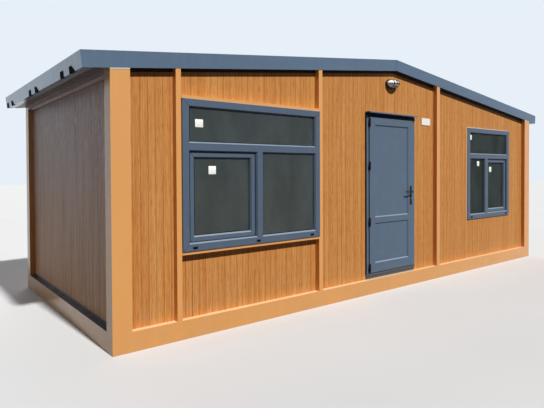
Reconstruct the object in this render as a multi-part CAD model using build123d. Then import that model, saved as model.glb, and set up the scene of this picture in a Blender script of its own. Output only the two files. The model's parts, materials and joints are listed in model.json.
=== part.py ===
from build123d import *
import os
from math import cos, pi, radians, sin, sqrt, tan

# Container house: a steel frame with recessed sandwich panels under a low gable roof whose ridge
# runs from front to back. Lengths are millimetres. Positions are measured from the front left
# corner of the walls at ground level: x to the right along the long front, y into the depth, z up.
# The exported parts are moved so that the origin is the middle of the plan, on the ground.

# Plan and heights of the steel frame
length = 7550
depth = 3160
eave_height = 2407
sill_height = 176
corner_width = 172
frame_depth = 140
steel = 5
slim_post_depth = 60
slim_post_walls = 3
slim_post_widths = (51, 55, 72)
bay_widths = (452, 1778, 2321)
eave_rail_drop = 42
rail_lip_depth = 27
rail_bead_height = 18
gable_rail_height = 28

# Walls, floor and the flashing on the ledge of the side sills
panel_recess = 60
floor_thickness = 120
flashing_sheet = 2
flashing_upstand = 30

# Roof
pitch = 6.61
eave_overhang = 219
roof_core = 100
rib_height = 35
rib_top = 26
rib_base = 62
rib_count = 13
rib_edge = 40
sheet = 3
sheet_return = 60
eave_hollow = 60
eave_lip = 85
ridge_wing = 160
ridge_sheet = 2

# Notches in the lower edge of an eave fascia, in pairs with a tab between
notch_first = 345
notch_pitch = 1250
notch_count = 3
notch_height = 58
notch_wide_top = 54
notch_wide_base = 137
tab_width = 173
notch_slim_top = 52
notch_slim_base = 92

# Large window, between the first and second slim post
large_height = 1407
large_head_drop = 194
large_front = -20
large_gap = 2
large_liner_inset = 24
large_mullion_shift = 18
large_trim_height = 30
large_trim_set_back = 14

# Small window, in the right-hand bay
small_width = 1309
small_height = 1422
small_head_drop = 206
small_from_corner_post = 486
small_front = 40
small_mullion_shift = -95

# Window profiles
transom_drop = 440
window_depth = 70
frame_face = 80
bar_face = 94
glass_rebate = 12
glass_thickness = 24
glass_set_back = 22
bead_splay = 14
edge_chamfer = 3
sash_set_back = 24
sash_depth = 50
sash_overlap = 6
sash_gap = 4
sash_face = 65

# Window handles, on the inner face of each sash
rose_size = (30, 66)
rose_thickness = 9
rose_from_edge = 26
window_grip_length = 108
window_grip_reach = 34
window_grip_radius = 6

# Door set
door_from_post = 794.5
door_width = 1000
door_height = 2100
door_frame_front = 45
door_frame_depth = 70
door_jamb = 47
head_jamb = 50
door_gap = 8
threshold_height = 70
threshold_nose_height = 30
threshold_nose_reach = 15
door_stop = 14
door_stop_cover = 24
leaf_proud = 13
leaf_thickness = 64
door_stile = 103
top_rail = 95
bottom_rail = 118
lower_field_height = 507
lock_rail = 72
field_sink = 14
field_splay = 12
drip_reach = 78
drip_overlap = 2
drip_lip = 14
drip_sheet = 3

# Hinges, measured from the leaf's lower and upper edge
hinges_from_bottom = (66, 645)
hinges_from_top = (617, 74)
hinge_radius = 9
hinge_knuckle = 50
hinge_pin = 4
hinge_running = 0.1
hinge_end_gap = 0.5
hinge_flap = 3
hinge_flap_width = 14

# Handle and lock; the handle height is above the sill
handle_height = 1080
plate_size = (34, 250)
plate_over_lever = 76
plate_thickness = 9
lever_length = 130
lever_reach = 52
lever_bend = 15
lever_tip = 22
lever_grip = (12, 20)
lever_edge = 3.5
neck_radius = 9
neck_length = 16
spindle = 8
latch_hole = 13
fit_gap = 0.3
cylinder_drop = 92
cylinder_radius = 9
cylinder_proud = 3

# Oval lamp with a guard over its domed glass
lamp_from_ridge = -46
lamp_share_of_gable = 0.7
lamp_half_size = (115, 62.5)
lamp_housing_depth = 30
lamp_rim = 10
lamp_edge = 6
lamp_dome = 72
dome_rings = (0, 18, 36, 54, 70)
dome_sides = 32
guard_gap = 2.5
guard_bar_width = 5
guard_bar_thickness = 5
guard_spine_extra = 1.5
guard_spacing = 44

# Blank plate
sign_size = (200, 96)
sign_from_door = 176
sign_below_door_head = 4
sign_thickness = 8
sign_corner = 12

slope = tan(radians(pitch))
ridge_x = length / 2
inner_x = (frame_depth, length - frame_depth)
inner_y = (frame_depth, depth - frame_depth)
panel_y = (panel_recess, frame_depth)
roof_height = roof_core + rib_height

joints = [corner_width + sum(bay_widths[:i]) for i in range(len(bay_widths) + 1)]
joints.append(length - corner_width)
bays = list(zip(joints, joints[1:]))
post_faces = [(c - w / 2, c + w / 2) for c, w in zip(joints[1:], slim_post_widths)]

low_corner = (Align.MIN, Align.MIN, Align.MIN)


def block(x, y, z):
    """A box from its low and high value along each axis."""
    return Pos(x[0], y[0], z[0]) * Box(x[1] - x[0], y[1] - y[0], z[1] - z[0], align=low_corner)


def inset(span, amount):
    return (span[0] + amount, span[1] - amount)


def splayed(x, y, z, splay):
    """A box along y that is wider by splay on every side at the first y than at the second."""
    w, h = x[1] - x[0], z[1] - z[0]
    shape = Wedge(w + 2 * splay, abs(y[1] - y[0]), h + 2 * splay,
                  splay, splay, w + splay, h + splay, align=low_corner)
    if y[1] < y[0]:
        shape = mirror(shape, Plane.XZ)
    return Pos(x[0] - splay, y[0], z[0] - splay) * shape


def soft_block(x, y, z):
    """A box whose front edges, at the low y, are chamfered."""
    shape = block(x, y, z)
    return chamfer(shape.edges().group_by(Axis.Y)[0], edge_chamfer)


def prism(outline, y):
    """An outline of (x, z) points pushed from the low to the high y."""
    points = [(x, y[0], z) for x, z in outline]
    return extrude(make_face(Polyline(*points, close=True)), amount=y[1] - y[0], dir=(0, 1, 0))


def strip(outline, x):
    """An outline of (y, z) points pushed from the low to the high x."""
    points = [(x[0], y, z) for y, z in outline]
    return extrude(make_face(Polyline(*points, close=True)), amount=x[1] - x[0], dir=(1, 0, 0))


def round_bar(x, z, y, radius):
    """A round bar along y."""
    bar = Cylinder(radius, y[1] - y[0], rotation=(-90, 0, 0),
                   align=(Align.CENTER, Align.CENTER, Align.MIN))
    return Pos(x, y[0], z) * bar


def upright(x, y, z, radius):
    """A round bar along z."""
    bar = Cylinder(radius, z[1] - z[0], align=(Align.CENTER, Align.CENTER, Align.MIN))
    return Pos(x, y, z[0]) * bar


def under_roof(x):
    """Height of the roof's underside over x."""
    return eave_height + slope * min(x, length - x)


def to_rear(shape):
    """The same shape on the opposite long side."""
    return mirror(shape, Plane.XZ.offset(-depth / 2))


def to_right(shape):
    """The same shape at the opposite end."""
    return mirror(shape, Plane.YZ.offset(length / 2))


def below_roof(x, y, bottom, drop=0):
    """A solid from bottom up to the roof's underside, less drop, between two x values."""
    tops = [(v, under_roof(v) - drop) for v in (x[1], ridge_x, x[0]) if x[0] <= v <= x[1]]
    return prism([(x[0], bottom), (x[1], bottom)] + tops, y)


# Base frame, posts and rails

def channel_sill(span, along_x):
    """A channel with its web outside and its flanges inwards."""
    web = (0, frame_depth)
    hollow = (steel, frame_depth + steel)
    height = (0, sill_height)
    inside = (steel, sill_height - steel)
    if along_x:
        return block(span, web, height) - block(span, hollow, inside)
    return block(web, span, height) - block(hollow, span, inside)


def corner_post():
    """A box post over the full height, cut to the roof's slope."""
    x, y = (0, corner_width), (0, frame_depth)
    inside_x, inside_y = inset(x, steel), inset(y, steel)
    return below_roof(x, y, 0) - below_roof(inside_x, inside_y, steel, -steel)


def slim_post(x):
    """A slim post that stands on the sill's ledge and covers a panel joint."""
    hollow = inset((0, slim_post_depth), slim_post_walls)
    outer = below_roof(x, (0, slim_post_depth), sill_height)
    return outer - below_roof(inset(x, slim_post_walls), hollow, sill_height - steel, -steel)


def eave_rail():
    """The rail over the left wall, cut to the roof's slope, with a bead in front of the panel."""
    bottom = eave_height - eave_rail_drop
    rail = below_roof((0, frame_depth), inner_y, bottom)
    rail -= below_roof((steel, frame_depth - steel), inner_y, bottom + steel, steel)
    return rail + block((rail_lip_depth, panel_recess), inner_y, (bottom - rail_bead_height, bottom))


def gable_rail():
    """The sloping rail along the top of the front wall, behind the slim posts."""
    x = (corner_width, length - corner_width)
    tops = [(x[1], under_roof(x[1])), (ridge_x, under_roof(ridge_x)), (x[0], under_roof(x[0]))]
    bottoms = [(px, pz - gable_rail_height) for px, pz in reversed(tops)]
    outer = prism(bottoms + tops, panel_y)
    hollow = [(px, pz + steel) for px, pz in bottoms] + [(px, pz - steel) for px, pz in tops]
    return outer - prism(hollow, inset(panel_y, steel))


# Walls

def wall_bay(x, cut=None):
    """A front wall panel between two x values, with an optional window cut-out."""
    panel = below_roof(x, panel_y, sill_height, gable_rail_height)
    if cut:
        panel -= block(cut[0], inset(panel_y, -steel), cut[1])
    return panel


def end_wall():
    """The panel of the left end, recessed between the corner posts."""
    return block(panel_y, inner_y, (sill_height, eave_height - eave_rail_drop))


def side_flashing():
    """A folded sheet that lies on the left sill's ledge and turns up in front of the panel."""
    ledge = block((0, panel_recess), inner_y, (sill_height, sill_height + flashing_sheet))
    upstand = block((panel_recess - flashing_sheet, panel_recess), inner_y,
                    (sill_height, sill_height + flashing_upstand))
    return ledge + upstand


# Windows

def panes(x, z, mullion_shift):
    """The three clear openings of a window: a transom light over a left and a right light."""
    half = bar_face / 2
    transom = z[1] - transom_drop
    mullion = (x[0] + x[1]) / 2 + mullion_shift
    clear_x, clear_z = inset(x, frame_face), inset(z, frame_face)
    lower_z = (clear_z[0], transom - half)
    return {"transom": (clear_x, (transom + half, clear_z[1])),
            "left": ((clear_x[0], mullion - half), lower_z),
            "right": ((mullion + half, clear_x[1]), lower_z)}


def pane_y(front):
    return (front + glass_set_back, front + glass_set_back + glass_thickness)


def glazed_opening(x, z, y):
    """Cutter for one pane: the rebate, and a splayed way through from each face to the glass."""
    glass_y = pane_y(y[0])
    rebate = block(inset(x, -glass_rebate), glass_y, inset(z, -glass_rebate))
    from_outside = splayed(x, (y[0], glass_y[0]), z, bead_splay)
    from_inside = splayed(x, (y[1], glass_y[1]), z, bead_splay)
    return rebate + from_outside + from_inside


def sash_seat(opening):
    """A sash's outer size: it laps the frame's lip all round its opening."""
    return tuple(inset(v, -sash_overlap) for v in opening)


def sash_light(opening):
    """The clear opening inside a sash."""
    return tuple(inset(v, sash_face) for v in sash_seat(opening))


def window_frame(x, z, front, openings, opens):
    """Outer frame with transom and mullion, rebated for fixed panes and, inside, for the sash."""
    y = (front, front + window_depth)
    lip = (front, front + sash_set_back)
    frame = soft_block(x, y, z)
    for name, (px, pz) in openings.items():
        if name == opens:
            seat_x, seat_z = sash_seat((px, pz))
            frame -= splayed(px, lip, pz, bead_splay)
            frame -= block(inset(seat_x, -sash_gap), (lip[1], y[1] + steel), inset(seat_z, -sash_gap))
        else:
            frame -= glazed_opening(px, pz, y)
    return frame


def window_sash(opening, front):
    """A sash behind the frame's lip, with bevels round its glass."""
    x, z = sash_seat(opening)
    y = (front + sash_set_back, front + sash_set_back + sash_depth)
    return soft_block(x, y, z) - glazed_opening(*sash_light(opening), y)


def window_glass(openings, front, opens):
    """The three panes of a window, each filling its rebate."""
    glass = Part()
    for name, opening in openings.items():
        if name == opens:
            (px, pz), y = sash_light(opening), pane_y(front + sash_set_back)
        else:
            (px, pz), y = opening, pane_y(front)
        glass += block(inset(px, -glass_rebate), y, inset(pz, -glass_rebate))
    return glass


def window_handle(opening, front, side):
    """Rose and grip inside, on the sash's left (0) or right (1) stile, next to the mullion."""
    x, z = sash_seat(opening)
    middle = inset(x, rose_from_edge)[side]
    centre = (z[0] + z[1]) / 2
    face = front + sash_set_back + sash_depth
    rose = block((middle - rose_size[0] / 2, middle + rose_size[0] / 2),
                 (face, face + rose_thickness),
                 (centre - rose_size[1] / 2, centre + rose_size[1] / 2))
    reach = face + window_grip_reach
    neck = round_bar(middle, centre, (face, reach), window_grip_radius)
    grip = upright(middle, reach, (centre - window_grip_length, centre), window_grip_radius)
    knob = Pos(middle, reach, centre) * Sphere(window_grip_radius)
    return rose + neck + grip + knob


# Door set

door_x = (post_faces[1][1] + door_from_post, post_faces[1][1] + door_from_post + door_width)
door_head = sill_height + door_height
frame_y = (door_frame_front, door_frame_front + door_frame_depth)
clear_door_x = inset(door_x, door_jamb)
clear_door_z = (sill_height + threshold_height, door_head - head_jamb)
leaf_x = inset(clear_door_x, door_gap)
leaf_z = inset(clear_door_z, door_gap)
leaf_front = door_frame_front - leaf_proud
leaf_y = (leaf_front, leaf_front + leaf_thickness)
leaf_middle = Plane.XZ.offset(-(leaf_y[0] + leaf_y[1]) / 2)
hinge_axis = (clear_door_x[0] + door_gap / 2, leaf_front - hinge_radius - hinge_flap)
hinge_z = [leaf_z[0] + v for v in hinges_from_bottom] + [leaf_z[1] - v for v in hinges_from_top]
handle_x = leaf_x[1] - door_stile / 2
lever_z = sill_height + handle_height
cylinder_z = lever_z - cylinder_drop


def door_frame():
    """Jambs and head with a stop behind the leaf."""
    frame = soft_block(door_x, frame_y, (sill_height + threshold_height, door_head))
    clear = block(clear_door_x, inset(frame_y, -steel), (0, clear_door_z[1]))
    stop_y = (frame_y[1] - door_stop, frame_y[1])
    stop = block(clear_door_x, stop_y, clear_door_z)
    stop -= block(inset(clear_door_x, door_stop_cover), inset(stop_y, -steel),
                  (0, clear_door_z[1] - door_stop_cover))
    return frame - clear + stop


def door_threshold():
    """A threshold under the leaf, with a nose in line with the frame over a set-back foot."""
    y0, y1 = frame_y
    z0, z1 = sill_height, sill_height + threshold_height
    foot, under_nose = y0 + threshold_nose_reach, z1 - threshold_nose_height
    return strip([(foot, z0), (y1, z0), (y1, z1), (y0, z1), (y0, under_nose), (foot, under_nose)],
                 door_x)


def sunk_field(x, z):
    """A sunk field with splayed edges in the leaf's front face."""
    depths = (leaf_front, leaf_front + field_sink)
    return splayed(inset(x, field_splay), depths, inset(z, field_splay), field_splay)


def door_leaf():
    """A panelled leaf with two fields on each face, bored for the spindle and the cylinder."""
    leaf = soft_block(leaf_x, leaf_y, leaf_z)
    field_x = inset(leaf_x, door_stile)
    lower = (leaf_z[0] + bottom_rail, leaf_z[0] + bottom_rail + lower_field_height)
    upper = (lower[1] + lock_rail, leaf_z[1] - top_rail)
    for field_z in (upper, lower):
        field = sunk_field(field_x, field_z)
        leaf -= field
        leaf -= mirror(field, leaf_middle)
    through = inset(leaf_y, -steel)
    leaf -= round_bar(handle_x, lever_z, through, latch_hole)
    return leaf - round_bar(handle_x, cylinder_z, through, cylinder_radius + fit_gap)


def drip_profile():
    """A folded sheet that lies on the door's head, with a lip along its outer edge."""
    back, front = panel_recess, panel_recess - drip_reach
    top = door_head + drip_sheet
    outline = [(back, top), (back, door_head), (front + drip_sheet, door_head),
               (front + drip_sheet, top - drip_lip), (front, top - drip_lip), (front, top)]
    return strip(outline, inset(door_x, drip_overlap))


def hinge_frame_half(z):
    """Lower knuckle with its pin and the flap on the jamb."""
    x, y = hinge_axis
    low = (z - hinge_knuckle - hinge_end_gap / 2, z - hinge_end_gap / 2)
    knuckle = upright(x, y, low, hinge_radius)
    pin = upright(x, y, (low[0], z + hinge_knuckle - steel), hinge_pin)
    flap_y = (door_frame_front - hinge_flap, door_frame_front)
    flap = block((x - hinge_flap_width, x - hinge_radius / 2), flap_y, low)
    web = block((x - hinge_radius, x - hinge_radius / 2), (y, door_frame_front), low)
    return knuckle + pin + web + flap


def hinge_leaf_half(z):
    """Upper knuckle, bored for the pin, and the flap on the leaf."""
    x, y = hinge_axis
    high = (z + hinge_end_gap / 2, z + hinge_knuckle)
    bore = upright(x, y, (z - steel, high[1] - hinge_flap), hinge_pin + hinge_running)
    flap = block((x, x + hinge_flap_width), (leaf_front - hinge_flap, leaf_front), high)
    web = block((x, x + hinge_radius / 2), (y, leaf_front), high)
    return upright(x, y, high, hinge_radius) + web + flap - bore


def handle_plate(y):
    """A long plate on one face of the leaf, bored for the lever's neck and the cylinder."""
    top = lever_z + plate_over_lever
    x = (handle_x - plate_size[0] / 2, handle_x + plate_size[0] / 2)
    plate = block(x, y, (top - plate_size[1], top))
    plate = fillet(plate.edges().filter_by(Axis.Y), plate_size[0] / 4)
    through = inset(y, -steel)
    plate -= round_bar(handle_x, lever_z, through, neck_radius + fit_gap)
    return plate - round_bar(handle_x, cylinder_z, through, cylinder_radius + fit_gap)


def lock_cylinder():
    """The cylinder passes both plates and the leaf."""
    y = inset(leaf_y, -plate_thickness - cylinder_proud)
    return round_bar(handle_x, cylinder_z, y, cylinder_radius)


def lever():
    """One lever on the front face: a round neck, then a chamfered bar bent round to the tip."""
    neck_end = leaf_front - neck_length
    out = leaf_front - lever_reach
    tip_x = handle_x - lever_length
    path = FilletPolyline((handle_x, neck_end, lever_z), (handle_x, out, lever_z),
                          (tip_x, out, lever_z), (tip_x, out + lever_tip, lever_z),
                          radius=lever_bend)
    grip = Rectangle(*lever_grip)
    grip = chamfer(grip.vertices(), lever_edge)
    section = Plane(origin=path @ 0, x_dir=(1, 0, 0), z_dir=path % 0) * grip
    neck = round_bar(handle_x, lever_z, (neck_end, leaf_front), neck_radius)
    return neck + sweep(section, path=path)


def handle_levers():
    """Outside and inside lever on one square spindle."""
    half = spindle / 2
    bar = block((handle_x - half, handle_x + half), inset(leaf_y, -steel),
                (lever_z - half, lever_z + half))
    outside = lever()
    return outside + bar + mirror(outside, leaf_middle)


# Roof

def to_slope(shape):
    """Lays a shape on the left slope: its x becomes the way up the slope from the eave."""
    x = -eave_overhang
    return Pos(x, 0, under_roof(0) + slope * x) * (Rot(0, -pitch, 0) * shape)


slope_length = (ridge_x + eave_overhang) / cos(radians(pitch))
past_ridge = slope_length + roof_height
left_of_ridge = block((-2 * eave_overhang, ridge_x), (-depth, 2 * depth), (0, 2 * eave_height))


def roof_panel():
    """Left sandwich panel: its ribbed top sheet runs out over the hollow of the eave."""
    panel = block((eave_hollow, past_ridge), (0, depth), (0, roof_core))
    panel += block((0, past_ridge), (0, depth), (roof_core - sheet, roof_core))
    step = (depth - 2 * rib_edge) / (rib_count - 1)
    for i in range(rib_count):
        middle = rib_edge + i * step
        outline = [(middle - rib_base / 2, roof_core - sheet),
                   (middle + rib_base / 2, roof_core - sheet),
                   (middle + rib_top / 2, roof_height), (middle - rib_top / 2, roof_height)]
        panel += strip(outline, (0, past_ridge))
    edges = block((0, past_ridge), (0, depth), (0, 2 * roof_height))
    return to_slope(panel & edges) & left_of_ridge


def verge_fascia():
    """Bent sheet along the front gable: upright leg and a return over the roof's edge."""
    u, top = (-sheet, past_ridge), roof_height + sheet
    legs = block(u, (-sheet, 0), (-sheet, top)) + block(u, (-sheet, sheet_return),
                                                        (roof_height, top))
    legs = to_slope(legs) & left_of_ridge
    return legs + to_right(legs)


def eave_fascia():
    """Bent sheet along the left eave, its lower edge notched in pairs with a tab between."""
    y = (0, depth)
    fascia = block((-sheet, 0), y, (-sheet, roof_height))
    fascia += block((0, eave_lip), y, (-sheet, 0))
    fascia += block((-sheet, sheet_return), inset(y, sheet_return),
                    (roof_height, roof_height + sheet))
    for i in range(notch_count):
        near = notch_first + i * notch_pitch
        far = near + tab_width
        wide = [(near, 0), (near - notch_wide_base, 0),
                (near - notch_wide_top, notch_height), (near, notch_height)]
        slim = [(far, 0), (far + notch_slim_base, 0),
                (far + notch_slim_top, notch_height), (far, notch_height)]
        for outline in (wide, slim):
            fascia -= strip([(v, w - 2 * sheet) for v, w in outline], (-2 * sheet, 0))
    return to_slope(fascia)


def ridge_cap():
    """Folded sheet over the ridge, resting on the ribs between the verge returns."""
    wing = to_slope(block((slope_length - ridge_wing, past_ridge),
                          inset((0, depth), sheet_return),
                          (roof_height, roof_height + ridge_sheet)))
    wing = wing & left_of_ridge
    return wing + to_right(wing)


# Lamp

lamp_x = ridge_x + lamp_from_ridge
lamp_z = door_head + lamp_share_of_gable * (under_roof(lamp_x) - door_head)
lamp_front = panel_recess - lamp_housing_depth
glass_half_size = tuple(v - lamp_rim for v in lamp_half_size)


def oval_bar(half_size, y):
    """An upright oval pushed from the low to the high y."""
    plane = Plane(origin=(lamp_x, y[0], lamp_z), x_dir=(1, 0, 0), z_dir=(0, 1, 0))
    return extrude(plane * Ellipse(*half_size), amount=y[1] - y[0], dir=(0, 1, 0))


def lamp_body():
    """Oval housing with a bevelled front edge and a pocket for the glass."""
    body = oval_bar(lamp_half_size, (lamp_front, panel_recess))
    body = chamfer(body.edges().group_by(Axis.Y)[0], lamp_edge)
    return body - oval_bar(glass_half_size, (lamp_front - steel, panel_recess - steel))


def glass_ring(y, share):
    """Corners of a many-sided upright oval at y, as a share of the glass's full size."""
    half_x, half_z = (v * share for v in glass_half_size)
    turns = [2 * pi * i / dome_sides for i in range(dome_sides)]
    return [(lamp_x + half_x * cos(t), y, lamp_z + half_z * sin(t)) for t in turns]


def lamp_dome_glass():
    """A domed glass of flat facets that fills the housing's pocket and stands proud of it."""
    rings = [glass_ring(panel_recess - steel, 1)]
    for angle in map(radians, dome_rings):
        rings.append(glass_ring(lamp_front - lamp_dome * sin(angle), cos(angle)))
    facets = [rings[0], rings[-1]]
    for low, high in zip(rings, rings[1:]):
        for i in range(dome_sides):
            facets.append((low[i - 1], low[i], high[i], high[i - 1]))
    return Solid(Shell([make_face(Polyline(*corners, close=True)) for corners in facets]))


def guard_hoop(offset, upright_hoop):
    """A flat bar bent over the dome, upright or level, at an offset from its middle."""
    half_x, half_z = glass_half_size
    along, other = (half_z, half_x) if upright_hoop else (half_x, half_z)
    thickness = guard_bar_thickness + (0 if upright_hoop else guard_spine_extra)
    shrink = sqrt(1 - (offset / other) ** 2)
    inner = (along * shrink + guard_gap, lamp_dome * shrink + guard_gap)
    outer = (inner[0] + thickness, inner[1] + thickness)
    side = offset - guard_bar_width / 2
    if upright_hoop:
        plane = Plane((lamp_x + side, lamp_front, lamp_z), x_dir=(0, 0, 1), z_dir=(1, 0, 0))
    else:
        plane = Plane((lamp_x, lamp_front, lamp_z - side), x_dir=(1, 0, 0), z_dir=(0, 0, -1))
    front_half = Pos(0, outer[1] / 2) * Rectangle(2 * outer[0], outer[1])
    ring = (Ellipse(*outer) - Ellipse(*inner)) & front_half
    return extrude(plane * ring, amount=guard_bar_width)


def lamp_cage():
    """Guard of one lengthwise bar and three bars across it."""
    cage = guard_hoop(0, False)
    for offset in (-guard_spacing, 0, guard_spacing):
        cage += guard_hoop(offset, True)
    return cage


parts = {}

front_sill = channel_sill((corner_width, length - corner_width), True)
left_sill = channel_sill(inner_y, False)
parts["base_sills_long"] = front_sill + to_rear(front_sill)
parts["base_sills_end"] = left_sill + to_right(left_sill)
parts["floor_deck"] = block(inner_x, inner_y, (sill_height - floor_thickness, sill_height))

corner_posts = corner_post() + to_right(corner_post())
slim_posts = Part() + [slim_post(x) for x in post_faces]
parts["corner_posts_front"] = corner_posts
parts["corner_posts_rear"] = to_rear(corner_posts)
parts["slim_posts_front"] = slim_posts
parts["slim_posts_rear"] = to_rear(slim_posts)
parts["eave_rails"] = eave_rail() + to_right(eave_rail())
parts["gable_rails"] = gable_rail() + to_rear(gable_rail())

large_x = (post_faces[0][1] + large_gap, post_faces[1][0] - large_gap)
large_head = eave_height - large_head_drop
large_z = (large_head - large_height, large_head)
small_right = length - corner_width - small_from_corner_post
small_x = (small_right - small_width, small_right)
small_head = eave_height - small_head_drop
small_z = (small_head - small_height, small_head)
large_panes = panes(large_x, large_z, large_mullion_shift)
small_panes = panes(small_x, small_z, small_mullion_shift)
large_cut = (inset(large_x, large_liner_inset), inset(large_z, large_liner_inset))

parts["front_wall_bay_1"] = wall_bay(bays[0])
parts["front_wall_bay_2"] = wall_bay(bays[1], large_cut)
parts["front_wall_left_of_door"] = wall_bay((bays[2][0], door_x[0]))
parts["front_wall_right_of_door"] = wall_bay((door_x[1], bays[2][1]))
parts["front_wall_over_door"] = below_roof(door_x, panel_y, door_head, gable_rail_height)
parts["front_wall_bay_4"] = wall_bay(bays[3], (small_x, small_z))
for number, bay in enumerate(bays, 1):
    parts[f"rear_wall_bay_{number}"] = to_rear(wall_bay(bay))
parts["left_wall"] = end_wall()
parts["right_wall"] = to_right(end_wall())
parts["side_flashings"] = side_flashing() + to_right(side_flashing())

parts["roof_panel_left"] = roof_panel()
parts["roof_panel_right"] = to_right(parts["roof_panel_left"])
parts["ridge_cap"] = ridge_cap()
parts["verge_fascia_front"] = verge_fascia()
parts["verge_fascia_rear"] = to_rear(parts["verge_fascia_front"])
parts["eave_fascia_left"] = eave_fascia()
parts["eave_fascia_right"] = to_right(parts["eave_fascia_left"])

large_frame = window_frame(large_x, large_z, large_front, large_panes, "left")
liner_y = (large_front + window_depth, frame_depth)
liner_face = frame_face - sash_overlap - sash_gap
large_frame += (block(large_cut[0], liner_y, large_cut[1])
                - block(inset(large_x, liner_face), inset(liner_y, -steel),
                        inset(large_z, liner_face)))
trim_y = (large_front + large_trim_set_back, panel_recess)
trim_x = (post_faces[0][1], post_faces[1][0])
upper_trim = block(trim_x, trim_y, (large_z[1], large_z[1] + large_trim_height))
lower_trim = block(trim_x, trim_y, (large_z[0] - large_trim_height, large_z[0]))
parts["large_window_frame"] = large_frame
parts["large_window_sash"] = window_sash(large_panes["left"], large_front)
parts["large_window_glass"] = window_glass(large_panes, large_front, "left")
parts["large_window_trims"] = upper_trim + lower_trim
parts["small_window_frame"] = window_frame(small_x, small_z, small_front, small_panes, "right")
parts["small_window_sash"] = window_sash(small_panes["right"], small_front)
parts["small_window_glass"] = window_glass(small_panes, small_front, "right")
parts["window_handles"] = (window_handle(large_panes["left"], large_front, 1)
                           + window_handle(small_panes["right"], small_front, 0))

parts["door_frame"] = door_frame()
parts["door_threshold"] = door_threshold()
parts["door_drip_profile"] = drip_profile()
parts["door_hinges_frame_side"] = Part() + [hinge_frame_half(z) for z in hinge_z]
parts["door_leaf"] = door_leaf()
parts["door_hinges_leaf_side"] = Part() + [hinge_leaf_half(z) for z in hinge_z]
parts["door_handle_plates"] = (handle_plate((leaf_y[0] - plate_thickness, leaf_y[0]))
                               + handle_plate((leaf_y[1], leaf_y[1] + plate_thickness)))
parts["door_lock_cylinder"] = lock_cylinder()
parts["door_levers"] = handle_levers()

parts["lamp_housing"] = lamp_body()
parts["lamp_glass"] = lamp_dome_glass()
parts["lamp_guard"] = lamp_cage()
sign_x = (door_x[1] + sign_from_door, door_x[1] + sign_from_door + sign_size[0])
sign_top = door_head - sign_below_door_head
sign = block(sign_x, (panel_recess - sign_thickness, panel_recess),
             (sign_top - sign_size[1], sign_top))
parts["blank_plate"] = fillet(sign.edges().filter_by(Axis.Y), sign_corner)

os.makedirs("parts", exist_ok=True)
for name, shape in parts.items():
    export_step(Pos(-length / 2, -depth / 2, 0) * shape, f"parts/{name}.step")
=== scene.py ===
"""Looks for the container house: camera, plain studio, materials and small fittings on the CAD frame."""
import json
from math import cos, pi, radians, sin, tan

import bmesh
import bpy
from mathutils import Matrix, Vector


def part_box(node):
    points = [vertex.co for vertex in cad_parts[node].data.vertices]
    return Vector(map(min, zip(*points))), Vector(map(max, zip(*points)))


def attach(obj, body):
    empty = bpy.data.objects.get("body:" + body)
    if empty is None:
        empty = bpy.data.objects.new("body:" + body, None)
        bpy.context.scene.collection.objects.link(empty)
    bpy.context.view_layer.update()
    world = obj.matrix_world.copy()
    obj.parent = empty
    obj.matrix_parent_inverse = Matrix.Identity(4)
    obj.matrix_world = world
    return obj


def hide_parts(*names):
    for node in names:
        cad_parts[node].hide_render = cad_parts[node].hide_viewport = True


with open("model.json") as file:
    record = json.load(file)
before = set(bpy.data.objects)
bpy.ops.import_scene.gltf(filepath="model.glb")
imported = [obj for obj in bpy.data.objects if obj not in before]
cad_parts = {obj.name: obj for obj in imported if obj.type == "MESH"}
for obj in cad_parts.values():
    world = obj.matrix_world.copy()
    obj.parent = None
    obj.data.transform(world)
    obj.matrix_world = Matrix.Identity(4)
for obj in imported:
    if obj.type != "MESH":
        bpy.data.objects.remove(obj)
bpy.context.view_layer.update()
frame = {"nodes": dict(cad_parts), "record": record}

nodes = frame["nodes"]
scene = bpy.context.scene

# Driving dimensions of the house in metres, the same as in the CAD

LENGTH, DEPTH = 7.55, 3.16
EAVE_HEIGHT, OVERHANG, PITCH = 2.407, 0.219, radians(6.61)
SLOPE_LENGTH = (LENGTH / 2 + OVERHANG) / cos(PITCH)
CORNER_WIDTH = 0.172
ROOF_HEIGHT, SHEET, RIDGE_CAP_SHEET = 0.135, 0.003, 0.002
RIB_COUNT, RIB_EDGE = 13, 0.04

# How far a pane sits in its rebate, the flat faces of frame and sash, and how far the frame laps the sash
GLASS_REBATE, FRAME_FLAT, SASH_FLAT, SASH_OVERLAP = 0.012, 0.066, 0.045, 0.006

# Grooves in the wall panels: their distance, how many to a panel, and the first one in a side wall
GROOVE_PITCH = 0.0719
GROOVES_PER_PANEL = 14
LEFT_WALL_GROOVE = 0.069

# Notches in the eave fascias come in pairs, one on each side of a tab. Each has a reach along the
# fascia at its foot and at its top, and the black fill in it, painted shadow of the hollow behind,
# reaches further by the second pair of values.
NOTCH_FIRST, NOTCH_PITCH, NOTCH_COUNT = 0.345, 1.25, 3
NOTCH_TOP, TAB_WIDTH = 0.052, 0.173
WIDE_NOTCH, WIDE_SHADOW_FILL = (0.137, 0.054), (0.02, 0.02)
SLIM_NOTCH, SLIM_SHADOW_FILL = (0.092, 0.052), (0.02, 0.045)


def at(x, y, z):
    """The place of a point that is measured from the front left corner of the walls."""
    return Vector((x - LENGTH / 2, y - DEPTH / 2, z))


def under_roof(x):
    """Height of the roof's underside over x, measured from the front left corner."""
    return EAVE_HEIGHT + tan(PITCH) * min(x, LENGTH - x)


def box(name):
    """Low and high corner of a CAD node."""
    low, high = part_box(name)
    return Vector(low), Vector(high)


# Colours

def linear(value):
    """A screen value from 0 to 255 as the light that it stands for, from 0 to 1."""
    value /= 255
    return value / 12.92 if value <= 0.04045 else ((value + 0.055) / 1.055) ** 2.4


def colour(r, g, b):
    """A colour written as it shows on screen, from 0 to 255."""
    return (linear(r), linear(g), linear(b), 1)


# Shader helpers

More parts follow.
